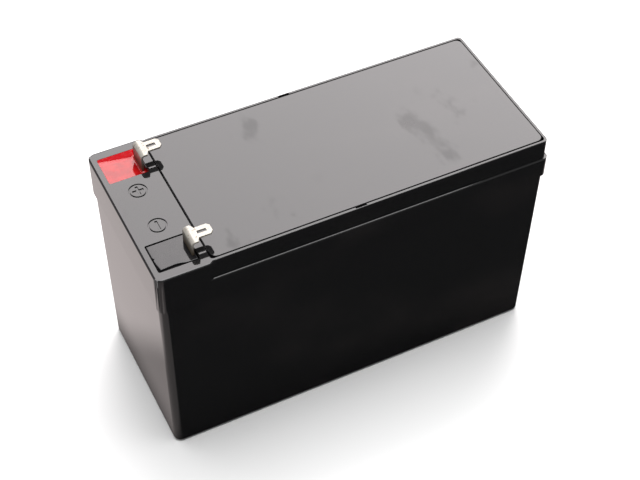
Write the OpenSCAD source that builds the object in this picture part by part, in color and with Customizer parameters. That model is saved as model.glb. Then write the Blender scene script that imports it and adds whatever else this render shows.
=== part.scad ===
// Sealed twelve volt lead-acid block battery with six cells in two rows of three.
// The origin is the middle of the base. +X runs away from the terminals and +Z is up.

/* [Case] */
// Length over the lid, along X
case_l = 151; // [126:1:182]
// Width over the lid, along Y
case_w = 65; // [54:1:78]
// Height from the base to the top of the lid
case_h = 94; // [79:1:113]
// Radius of the upright corners
corner_r = 3; // [2:0.5:4]

/* [Container] */
// Outer wall at the seam
wall = 2.4; // [2:0.1:3]
// Floor under the cells
floor_t = 2.4; // [1.6:0.1:4]
// Walls between the cells
partition_t = 1.6; // [1.2:0.1:2.4]
// How far each outer wall leans in from the seam to the base
draft = 0.7; // [0:0.1:1]
// Chamfer round the base
base_edge = 1.2; // [0.6:0.1:2]
// Height of the ribs that hold the plates off the floor
rest_rib_h = 1.2; // [0.6:0.1:3]
// Height of the tongue that stands up into the lid
tongue_h = 4; // [3:0.5:5]

/* [Lid] */
// Height of the lid, from the seam to its top
lid_h = 16.5; // [15.5:0.5:20]
// Depth of the step round the cover's end, from the lid's top
ledge_drop = 8; // [6.6:0.1:8.4]
// Width of that step
ledge_w = 1; // [0.6:0.1:1.6]
// Overhang of the skirt past the container's wall
skirt_step = 0.7; // [0.4:0.1:1]
// Outer lip that laps over the tongue
lip_t = 1.3; // [1.1:0.1:1.6]
// Resin gap on each side of the tongue
joint_gap = 0.3; // [0.2:0.05:0.5]
// Inner lip that closes the resin groove
inner_lip_t = 1.2; // [0.8:0.1:1.6]
// Floor of the valve tray
tray_t = 2.2; // [1.6:0.1:2.6]
// Depth of the valve tray, from the lid's top
tray_drop = 7.2; // [6.8:0.1:7.8]

/* [Vent cover] */
// Length of the terminal deck, from the end of the case to the cover's recess
deck_l = 20.1; // [19:0.1:25]
// Full-width part of the lid's top, from the same end
shoulder_l = 21.5; // [20:0.1:28]
// Plate of the cover
cover_t = 1.6; // [1.2:0.1:2]
// How far the cover lies below the rim
cover_sink = 0.15; // [0:0.05:0.4]
// Gap round the cover
cover_gap = 0.4; // [0.3:0.05:0.6]
// How far the cover lies off the middle of its recess, away from the terminals
cover_shift_x = 0.28; // [0:0.02:0.28]
// How far the cover lies off the middle of its recess, towards the positive side
cover_shift_y = 0.2; // [0:0.02:0.28]
// Rim that stands round the cover
rim_t = 1; // [0.8:0.1:1.6]
// Shelf that the cover sits on
shelf_w = 1.6; // [1:0.1:2.4]
// Radius of the cover's corners
cover_r = 2.4; // [1.5:0.1:4]
// Length of each vent notch in the rim
notch_l = 4.2; // [3:0.1:6]
// Width that a vent notch takes from the rim
notch_w = 0.6; // [0.3:0.05:0.7]
// Depth of the ribs under the cover
cover_rib_h = 2.6; // [1.5:0.1:3]

/* [Valves] */
// Outside diameter of a valve's neck
neck_d = 8.4; // [7:0.1:10.1]
// Bore of a valve's neck
neck_bore = 5.6; // [4:0.1:6]
// Height of a neck above the tray
neck_h = 3; // [2.4:0.1:3.2]
// Wall of a rubber cap
cap_wall = 1.5; // [1.2:0.1:2]
// Top of a rubber cap
cap_top_t = 1.3; // [1:0.1:1.5]
// Running gap between a cap and its neck
cap_fit = 0.05; // [0.03:0.01:0.08]
// How far a cap can lift to let gas out
cap_lift = 0.5; // [0.3:0.05:0.5]
// Shift of the outer valves towards the middle of the case
valve_shift = 3.8; // [2:0.1:8]

/* [Terminals] */
// Rise of the blades above the lid's top
blade_rise = 5.6; // [4:0.1:7]
// Width of a blade
blade_w = 4.75; // [4:0.05:6.35]
// Thickness of a terminal
tab_t = 0.8; // [0.6:0.1:1]
// Width of a terminal's leg
leg_w = 8; // [6.5:0.1:9]
// Position of the leg's outer face, from the end of the case
leg_x = 15.3; // [14:0.1:16]
// Reach of the blade past the leg's outer face
blade_reach = 8.8; // [7:0.1:10]
// Length of the wide shoulder before the blade
shoulder = 2.6; // [1.6:0.1:4]
// Inside radius of the bend
bend_r = 0.8; // [0.4:0.1:1.2]
// Length of the slot in a blade
slot_l = 3.2; // [2:0.1:4]
// Width of that slot
slot_w = 1.2; // [0.8:0.1:1.6]
// Terminal pocket: length along X
pocket_l = 14.6; // [13.8:0.1:15.4]
// Terminal pocket: width along Y
pocket_w = 12.8; // [11:0.1:13.6]
// Terminal pocket: gap from the end of the case
pocket_inset = 2.5; // [2:0.1:3]
// Terminal pocket: gap from the long side of the case
pocket_side = 3.8; // [2.6:0.1:6]
// Terminal pocket: depth
pocket_d = 2.5; // [2:0.1:3]
// Wall left round the deeper well under the pocket
well_step = 1.4; // [0.8:0.1:2]
// Fill level of the red seal below the lid's top
red_drop = 0.9; // [0.2:0.1:1.6]
// Fill level of the black seal below the lid's top
black_drop = 0.15; // [0:0.05:1.6]
// Shrinkage gap round the top of the black seal
shrink_gap = 0.4; // [0.2:0.05:0.6]
// Diameter of a lead post
post_d = 8; // [6:0.1:9.6]
// Cord of the ring that seals a post
ring_cord = 1.8; // [1.2:0.1:2]

/* [Polarity marks] */
// Outside diameter of a mark's ring
mark_d = 6.6; // [5:0.1:8]
// Width of the engraved lines
mark_line = 0.5; // [0.3:0.05:0.8]
// Width of the engraved bars
bar_w = 0.9; // [0.6:0.1:1.4]
// Depth of the engraving
mark_depth = 0.35; // [0.2:0.05:0.6]
// Gap between a mark and the pocket beside it
mark_gap = 3.7; // [2:0.1:4]
// Distance of the marks from the end of the case
mark_x = 10.1; // [8:0.1:12]

/* [Plates] */
// Positive plates in a cell
positive_n = 4; // [3:1:5]
// Thickness of a positive plate
positive_t = 2.6; // [2:0.1:3]
// Thickness of a negative plate
negative_t = 1.8; // [1.4:0.1:2.2]
// Room left at each end of a stack
stack_gap = 0.3; // [0.2:0.1:1]
// Gap between a plate's edge and the cell's wall
plate_gap = 1.6; // [1:0.1:3]
// Width of a plate's lug
lug_w = 9; // [6:0.1:10]
// Height of a plate's lug
lug_h = 4.5; // [3:0.1:6]
// Lug's centre, from the cell's wall
lug_inset = 8; // [6:0.1:10]
// Thickness of a strap over the lugs
strap_t = 3.5; // [2.5:0.1:4.5]
// Diameter of the welds through the partitions
weld_d = 5; // [4:0.1:5.4]

/* [Hidden] */
$fn = 48;
CELLS = [1, 2, 3, 4, 5, 6];
LINKS = [1, 2, 3, 4, 5];

case_black = "#303032";
resin_red = "#c8141c";
resin_black = "#1c1c1e";
tin = "#e4dfd2";
lead = "#7d8087";
rubber_black = "#151515";
paste_brown = "#5a3a2c";
paste_grey = "#8b8e93";
glass_mat = "#f2f2ee";
epoxy_grey = "#54565a";

// Levels
seam_z = case_h - lid_h;
tongue_z = seam_z + tongue_h;
lip_z = seam_z + 1.5;
groove_z = tongue_z + 0.8;
ledge_z = case_h - ledge_drop;
tray_z = case_h - tray_drop;
ceiling_z = tray_z - tray_t;
shelf_z = case_h - cover_sink - cover_t;
pocket_z = case_h - pocket_d;

// Plan sizes
body_l = case_l - 2 * skirt_step;
body_w = case_w - 2 * skirt_step;
tongue_step = lip_t - skirt_step + joint_gap;
hollow_l = body_l - 2 * wall;
hollow_w = body_w - 2 * wall;
cell_l = (hollow_l - 2 * partition_t) / 3;
cell_w = (hollow_w - partition_t) / 2;
cell_edge_r = 1;
end_x = -case_l / 2;
recess_x = [end_x + deck_l, case_l / 2 - ledge_w - rim_t];
recess_y = case_w / 2 - ledge_w - rim_t;

// Vent cover and valves
recess_r = 1.2;
tray_r = 1;
stop_gap = 0.3;
cap_top = tray_z + neck_h + cap_top_t;
stop_h = shelf_z - cap_top - cap_lift - stop_gap;
rib_t = 1.2;
rib_inset = shelf_w + cover_gap + 0.6;

// Coring behind the polarity marks
core_end = 3.6;
core_skin = 2;
core_wall = 1.6;
core_top_t = 2.2;
middle_rib_t = 5.2;

// Terminals
total_h = case_h + blade_rise;
terminal_y = case_w / 2 - pocket_side - pocket_w / 2;
mark_y = terminal_y - pocket_w / 2 - mark_gap - mark_d / 2;
leg_out_x = end_x + leg_x;
post_x = -body_l / 2 + wall + lug_inset;
pocket_x = [end_x + pocket_inset, end_x + pocket_inset + pocket_l];
pocket_r = 0.6;
well_r = 1;
well_end_step = 0.5;
well_x = [pocket_x[0] + 2 * well_step, pocket_x[1] - well_end_step];
well_w = pocket_w - 2 * well_step;
well_z = tray_z - 0.2;
ring_z = well_z - ring_cord * 0.9;
foot_z = well_z + 1.4;
peg_d = post_d / 2;
post_fit = 0.15;
boss_wall = 2.5;

// Plates
negative_n = positive_n + 1;
separator_t = (cell_w - 2 * stack_gap - positive_n * positive_t - negative_n * negative_t)
    / (2 * positive_n);
stack_y = -cell_w / 2 + stack_gap;
stack_pitch = positive_t + negative_t + 2 * separator_t;
plate_w = cell_l - 2 * plate_gap;
plate_z = floor_t + rest_rib_h;
strap_top = seam_z - 2.5;
strap_z = strap_top - strap_t;
plate_top = strap_z - lug_h;
strap_gap = 0.5;
upright_t = 2.5;
upright_w = 13;
upright_top = lip_z - 0.6;
weld_z = (strap_z + upright_top) / 2;

// Cells 1 to 3 run away from the positive terminal, and 4 to 6 come back to the negative one.
function row(i) = i <= 3 ? 1 : -1;
function column(i) = i <= 3 ? i - 2 : 5 - i;
function cell_x(i) = column(i) * (cell_l + partition_t);
function cell_y(i) = row(i) * (cell_w + partition_t) / 2;
function valve_x(i) = cell_x(i) - column(i) * valve_shift;
// Side of a cell that its positive lugs stand on: -1 towards the terminals, 1 away from them
function positive_side(i) = -row(i);
function lug_x(i, side) = cell_x(i) + side * (cell_l / 2 - lug_inset);

// An upright block with round corners, given by its two x, y and z limits
module block(x, y, z, r) {
    translate([0, 0, z[0]])
        linear_extrude(z[1] - z[0]) {
            translate([x[0] + r, y[0]])
                square([x[1] - x[0] - 2 * r, y[1] - y[0]]);
            translate([x[0], y[0] + r])
                square([x[1] - x[0], y[1] - y[0] - 2 * r]);
            for (cx = [x[0] + r, x[1] - r], cy = [y[0] + r, y[1] - r])
                translate([cx, cy])
                    circle(r);
        }
}

// A plain block, given by its limits
module box(x, y, z) {
    translate([x[0], y[0], z[0]])
        cube([x[1] - x[0], y[1] - y[0], z[1] - z[0]]);
}

// The same block centred on the case, shrunk by an inset from the lid's outline
module centred(inset, z, r) {
    block([-case_l / 2 + inset, case_l / 2 - inset], [-case_w / 2 + inset, case_w / 2 - inset], z, r);
}

module cell_space(i, inset, z, r) {
    block(
        [cell_x(i) - cell_l / 2 + inset, cell_x(i) + cell_l / 2 - inset],
        [cell_y(i) - cell_w / 2 + inset, cell_y(i) + cell_w / 2 - inset],
        z, r
    );
}

// Container ----------------------------------------------------------------

module container_outside() {
    land = 2;
    hull()
        for (sx = [-1, 1], sy = [-1, 1]) {
            translate([sx * (body_l / 2 - corner_r), sy * (body_w / 2 - corner_r), seam_z - land])
                cylinder(h = land, r = corner_r, $fn = 32);
            translate([sx * (body_l / 2 - draft - corner_r), sy * (body_w / 2 - draft - corner_r), 0])
                cylinder(h = base_edge, r1 = corner_r - base_edge, r2 = corner_r, $fn = 32);
        }
}

module rest_ribs(i) {
    for (s = [-1, 1])
        box(
            [cell_x(i) + s * cell_l / 4 - 1, cell_x(i) + s * cell_l / 4 + 1],
            [cell_y(i) - cell_w / 2 - 0.2, cell_y(i) + cell_w / 2 + 0.2],
            [floor_t - 0.2, floor_t + rest_rib_h]
        );
}

module container() {
    color(case_black)
        difference() {
            union() {
                difference() {
                    union() {
                        container_outside();
                        centred(skirt_step + tongue_step, [seam_z - 1, tongue_z], corner_r - tongue_step);
                    }
                    for (i = CELLS)
                        cell_space(i, 0, [floor_t, tongue_z + 1], cell_edge_r);
                }
                for (i = CELLS)
                    rest_ribs(i);
            }
            for (i = LINKS)
                weld(i, partition_t + 2);
        }
}

// Lid ----------------------------------------------------------------------

// Groove over the tongue and the partitions, which the joint resin fills
module joint_groove() {
    difference() {
        centred(lip_t, [lip_z, groove_z], corner_r - lip_t);
        for (i = CELLS)
            cell_space(i, joint_gap, [lip_z - 1, groove_z + 1], cell_edge_r);
    }
}

module lid_underside() {
    centred(lip_t, [seam_z - 1, lip_z], corner_r - lip_t);
    joint_groove();
    for (i = CELLS)
        cell_space(i, joint_gap + inner_lip_t, [lip_z - 1, ceiling_z], cell_edge_r);
    // coring behind the polarity marks
    core_y = [middle_rib_t / 2, terminal_y - pocket_w / 2 - core_wall];
    for (s = [-1, 1])
        block(
            [end_x + core_end, recess_x[0] - core_skin],
            s > 0 ? core_y : [-core_y[1], -core_y[0]],
            [ceiling_z - 1, case_h - core_top_t], 1
        );
}

module cover_recess() {
    block(recess_x, [-recess_y, recess_y], [shelf_z, case_h + 1], recess_r);
    block(
        [recess_x[0] + shelf_w, recess_x[1] - shelf_w],
        [-recess_y + shelf_w, recess_y - shelf_w],
        [tray_z, shelf_z + 1], tray_r
    );
}

module vent_notches() {
    for (s = [-1, 1])
        box(
            [-notch_l / 2, notch_l / 2],
            s > 0 ? [recess_y - 0.2, recess_y + notch_w] : [-recess_y - notch_w, -recess_y + 0.2],
            [shelf_z, case_h + 1]
        );
}

module terminal_pocket(s) {
    y = s * terminal_y;
    block(pocket_x, [y - pocket_w / 2, y + pocket_w / 2], [pocket_z, case_h + 1], pocket_r);
    block(well_x, [y - well_w / 2, y + well_w / 2], [well_z, pocket_z + 1], well_r);
    translate([post_x, y, ring_z])
        cylinder(h = ring_cord, d = post_d + 2 * ring_cord);
    translate([post_x, y, lip_z])
        cylinder(h = case_h - lip_z, d = post_d + 2 * post_fit);
}

// Boss round a post, cut off where the resin groove passes it
module post_boss(s) {
    intersection() {
        translate([post_x, s * terminal_y, lip_z + 1])
            cylinder(h = ceiling_z - lip_z, d = post_d + 2 * boss_wall);
        cell_space(s > 0 ? 1 : 6, joint_gap, [lip_z, ceiling_z + 1], cell_edge_r);
    }
}

module polarity_mark(s) {
    arm = mark_d / 2 - 2.5 * mark_line;
    translate([end_x + mark_x, s * mark_y, case_h - mark_depth]) {
        difference() {
            cylinder(h = 1, d = mark_d);
            translate([0, 0, -1])
                cylinder(h = 3, d = mark_d - 2 * mark_line);
        }
        box([-bar_w / 2, bar_w / 2], [-arm, arm], [0, 1]);
        if (s > 0)
            box([-arm, arm], [-bar_w / 2, bar_w / 2], [0, 1]);
    }
}

module valve_neck(i, d, z) {
    translate([valve_x(i), cell_y(i), z[0]])
        cylinder(h = z[1] - z[0], d = d);
}

module lid() {
    color(case_black)
        difference() {
            union() {
                difference() {
                    union() {
                        centred(0, [seam_z, ledge_z], corner_r);
                        centred(ledge_w, [ledge_z - 1, case_h], corner_r - ledge_w);
                        block(
                            [end_x, end_x + shoulder_l], [-case_w / 2, case_w / 2],
                            [ledge_z - 1, case_h], corner_r
                        );
                    }
                    lid_underside();
                    cover_recess();
                    vent_notches();
                }
                for (s = [-1, 1])
                    post_boss(s);
                for (i = CELLS)
                    valve_neck(i, neck_d, [tray_z - 1, tray_z + neck_h]);
            }
            for (s = [-1, 1]) {
                terminal_pocket(s);
                polarity_mark(s);
            }
            for (i = CELLS)
                valve_neck(i, neck_bore, [ceiling_z - 1, tray_z + neck_h + 1]);
        }
}

module lid_joint_resin() {
    color(epoxy_grey)
        difference() {
            joint_groove();
            difference() {
                centred(skirt_step + tongue_step, [lip_z - 1, tongue_z], corner_r - tongue_step);
                for (i = CELLS)
                    cell_space(i, 0, [lip_z - 2, tongue_z + 1], cell_edge_r);
            }
        }
}

// Vent cover and valves ------------------------------------------------------

// Three long ribs stiffen the cover, clear of both rows of caps.
module cover_ribs() {
    y = recess_y - rib_inset - rib_t / 2;
    for (cy = [-y, 0, y])
        box(
            [recess_x[0] + rib_inset, recess_x[1] - rib_inset], [cy - rib_t / 2, cy + rib_t / 2],
            [shelf_z - cover_rib_h, shelf_z + 0.2]
        );
}

module vent_cover() {
    color(case_black) {
        translate([cover_shift_x, cover_shift_y, 0])
            block(
                [recess_x[0] + cover_gap, recess_x[1] - cover_gap],
                [-recess_y + cover_gap, recess_y - cover_gap],
                [shelf_z, shelf_z + cover_t], cover_r
            );
        cover_ribs();
        // stops over the caps
        for (i = CELLS)
            valve_neck(i, neck_bore, [shelf_z - stop_h, shelf_z + 0.2]);
    }
}

// A cap is a rubber cup that sits over the neck and closes its mouth.
module valve_cap(i) {
    inside = neck_d / 2 + cap_fit;
    outside = inside + cap_wall;
    color(rubber_black)
        translate([valve_x(i), cell_y(i), tray_z])
            rotate_extrude()
                polygon([
                    [0, neck_h], [inside, neck_h], [inside, 0.4], [outside - 0.3, 0.4], [outside, 0.7],
                    [outside, neck_h + cap_top_t - 0.6], [outside - 0.6, neck_h + cap_top_t],
                    [0, neck_h + cap_top_t]
                ]);
}

// Terminals ------------------------------------------------------------------

// Side view of a terminal: foot, leg and blade in one bent strip
module tab_side() {
    top = total_h;
    turn = bend_r + tab_t;
    foot_r = well_w / 2 - 0.4;
    x = leg_out_x;
    translate([post_x - foot_r, foot_z])
        square([x + tab_t - post_x + foot_r, tab_t]);
    translate([x, foot_z])
        square([tab_t, top - turn - foot_z]);
    translate([x + turn, top - tab_t])
        square([blade_reach - turn, tab_t]);
    difference() {
        intersection() {
            translate([x + turn, top - turn])
                circle(turn);
            translate([x, top - turn])
                square(turn);
        }
        translate([x + turn, top - turn])
            circle(bend_r);
    }
}

// Top view of a terminal: wide foot and shoulder, then the slotted blade with cut corners
module tab_plan() {
    x = leg_out_x;
    tip = x + blade_reach;
    cut = 1;
    difference() {
        polygon([
            [post_x - well_w, -leg_w / 2], [x + shoulder, -leg_w / 2], [x + shoulder + 0.8, -blade_w / 2],
            [tip - cut, -blade_w / 2], [tip, -blade_w / 2 + cut], [tip, blade_w / 2 - cut],
            [tip - cut, blade_w / 2], [x + shoulder + 0.8, blade_w / 2], [x + shoulder, leg_w / 2],
            [post_x - well_w, leg_w / 2]
        ]);
        translate([tip - slot_l - 1.9, -slot_w / 2])
            square([slot_l, slot_w]);
    }
}

module tab(s) {
    translate([0, s * terminal_y, 0])
        difference() {
            intersection() {
                rotate([90, 0, 0])
                    linear_extrude(leg_w + 2, center = true)
                        tab_side();
                translate([0, 0, foot_z - 1])
                    linear_extrude(total_h - foot_z + 2)
                        tab_plan();
            }
            translate([post_x, 0, foot_z - 1])
                cylinder(h = tab_t + 2, d = peg_d);
        }
}

// A lead post with a peg that is soldered through the terminal's foot
module post(s) {
    translate([post_x, s * terminal_y, 0]) {
        translate([0, 0, strap_top])
            cylinder(h = foot_z - strap_top, d = post_d);
        translate([0, 0, foot_z - 1])
            cylinder(h = tab_t + 1, d = peg_d);
        translate([0, 0, foot_z + tab_t])
            cylinder(h = 0.8, d1 = peg_d + 1.6, d2 = peg_d);
    }
}

// A square-cut ring pressed between the post and the lid
module seal_ring(s) {
    inside = post_d / 2;
    outside = inside + ring_cord;
    c = 0.3;
    color(rubber_black)
        translate([post_x, s * terminal_y, ring_z])
            rotate_extrude()
                polygon([
                    [inside, c], [inside + c, 0], [outside - c, 0], [outside, c],
                    [outside, ring_cord - c], [outside - c, ring_cord], [inside + c, ring_cord],
                    [inside, ring_cord - c]
                ]);
}

// Resin poured over the terminal's foot, up to the drop below the lid's top
module terminal_seal(s, drop, gap) {
    y = s * terminal_y;
    gap_depth = gap > 0 ? 1 : 0;
    top = case_h - drop;
    difference() {
        union() {
            block(well_x, [y - well_w / 2, y + well_w / 2], [well_z, pocket_z + 0.5], well_r);
            block(pocket_x, [y - pocket_w / 2, y + pocket_w / 2], [pocket_z, top - gap_depth], pocket_r);
            if (gap > 0)
                block(
                    [pocket_x[0] + gap, pocket_x[1] - gap], [y - pocket_w / 2 + gap, y + pocket_w / 2 - gap],
                    [top - gap_depth - 0.5, top], pocket_r
                );
        }
        tab(s);
        post(s);
        translate([post_x, y, ring_z])
            cylinder(h = ring_cord, d = post_d + 2 * ring_cord);
    }
}

// Plates and links ----------------------------------------------------------

// A pasted grid plate: body, two feet and a lug. The lug stands on the given side of the cell.
module plate(i, side, y, t) {
    translate([cell_x(i), cell_y(i) + y, 0]) {
        box([-plate_w / 2, plate_w / 2], [0, t], [plate_z, plate_top]);
        translate([side * (cell_l / 2 - lug_inset) - lug_w / 2, t / 2 - 0.6, plate_top - 0.5])
            cube([lug_w, 1.2, lug_h + 0.5]);
    }
}

module positive_plates(i) {
    color(paste_brown)
        for (k = [0 : positive_n - 1])
            plate(i, positive_side(i), stack_y + negative_t + separator_t + k * stack_pitch, positive_t);
}

module negative_plates(i) {
    color(paste_grey)
        for (k = [0 : negative_n - 1])
            plate(i, -positive_side(i), stack_y + k * stack_pitch, negative_t);
}

module separators(i) {
    overlap = 1;
    x = cell_x(i);
    color(glass_mat)
        for (k = [0 : positive_n - 1], after = [0, 1]) {
            y = cell_y(i) + stack_y + k * stack_pitch + negative_t + after * (separator_t + positive_t);
            box(
                [x - plate_w / 2 - overlap, x + plate_w / 2 + overlap],
                [y, y + separator_t], [plate_z, plate_top + overlap]
            );
        }
}

// A strap lies over the lugs on one side of a cell.
module strap(i, side) {
    x = lug_x(i, side);
    box(
        [x - lug_w / 2 - 1, x + lug_w / 2 + 1],
        [cell_y(i) - cell_w / 2 + strap_gap, cell_y(i) + cell_w / 2 - strap_gap],
        [strap_z, strap_top]
    );
}

// Upright beside a partition that runs across the case
module cross_upright(i, side) {
    face = cell_x(i) + side * (cell_l / 2 - strap_gap);
    inner = lug_x(i, side);
    box(
        side > 0 ? [inner, face] : [face, inner],
        [cell_y(i) - upright_w / 2, cell_y(i) + upright_w / 2], [strap_z, strap_top]
    );
    box(
        side > 0 ? [face - upright_t, face] : [face, face + upright_t],
        [cell_y(i) - upright_w / 2, cell_y(i) + upright_w / 2], [strap_z, upright_top]
    );
}

// Upright beside the partition that runs along the case
module long_upright(i, side) {
    face = row(i) * (partition_t / 2 + strap_gap);
    x = lug_x(i, side);
    box(
        [x - lug_w / 2 - 1, x + lug_w / 2 + 1],
        row(i) > 0 ? [face, face + upright_t] : [face - upright_t, face], [strap_z, upright_top]
    );
}

// Weld from cell i to cell i + 1, long enough to pass the partition by half the extra on each side
module weld(i, extra) {
    if (i == 3)
        translate([lug_x(3, 1), 0, weld_z])
            rotate([90, 0, 0])
                cylinder(h = extra, d = weld_d, center = true);
    else
        translate([(cell_x(i) + cell_x(i + 1)) / 2, cell_y(i), weld_z])
            rotate([0, 90, 0])
                cylinder(h = extra, d = weld_d, center = true);
}

// The negative strap of one cell and the positive strap of the next, welded through the partition
module cell_link(i) {
    out = -positive_side(i);
    color(lead) {
        strap(i, out);
        strap(i + 1, positive_side(i + 1));
        if (i == 3) {
            long_upright(i, out);
            long_upright(i + 1, positive_side(i + 1));
        } else {
            cross_upright(i, out);
            cross_upright(i + 1, positive_side(i + 1));
        }
        weld(i, partition_t + 2 * strap_gap + 1);
    }
}

// Output ----------------------------------------------------------------------

container();
lid();
lid_joint_resin();
vent_cover();
color(tin) tab(1);  // positive_tab
color(tin) tab(-1);  // negative_tab
color(lead) post(1);  // positive_post
color(lead) post(-1);  // negative_post
color(resin_red) terminal_seal(1, red_drop, 0);  // positive_seal
color(resin_black) terminal_seal(-1, black_drop, shrink_gap);  // negative_seal
seal_ring(1);  // positive_seal_ring
seal_ring(-1);  // negative_seal_ring
color(lead) strap(1, positive_side(1));  // positive_end_strap
color(lead) strap(6, -positive_side(6));  // negative_end_strap
for (i = LINKS)
    cell_link(i);
for (i = CELLS) {
    valve_cap(i);
    positive_plates(i);
    negative_plates(i);
    separators(i);
}
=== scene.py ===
"""Finished look of a sealed lead-acid block battery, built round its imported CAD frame."""

import logging
import math
from dataclasses import dataclass
from enum import Enum
from typing import Callable, Iterable, Sequence

import bmesh
import bpy
import numpy as np
from mathutils import Matrix
from numpy.typing import NDArray


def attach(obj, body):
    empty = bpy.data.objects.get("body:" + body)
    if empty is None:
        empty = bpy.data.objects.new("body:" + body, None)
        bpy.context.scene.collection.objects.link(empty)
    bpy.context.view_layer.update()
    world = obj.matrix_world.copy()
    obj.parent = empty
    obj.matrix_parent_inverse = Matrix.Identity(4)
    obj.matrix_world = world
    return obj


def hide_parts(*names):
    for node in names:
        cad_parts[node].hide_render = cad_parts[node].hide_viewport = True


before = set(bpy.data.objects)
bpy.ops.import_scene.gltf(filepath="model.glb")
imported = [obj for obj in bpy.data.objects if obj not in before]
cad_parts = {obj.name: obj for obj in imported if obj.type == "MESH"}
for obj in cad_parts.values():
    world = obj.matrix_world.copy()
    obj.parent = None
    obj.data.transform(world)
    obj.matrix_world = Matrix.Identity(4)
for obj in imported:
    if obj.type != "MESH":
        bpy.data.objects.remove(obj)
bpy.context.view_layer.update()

LOG = logging.getLogger("battery")
MM = 0.001
CELLS = range(1, 7)
LINKS = range(1, 6)

Points = NDArray[np.float64]
Socket = bpy.types.NodeSocket


# Node graphs ------------------------------------------------------------------


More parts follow.
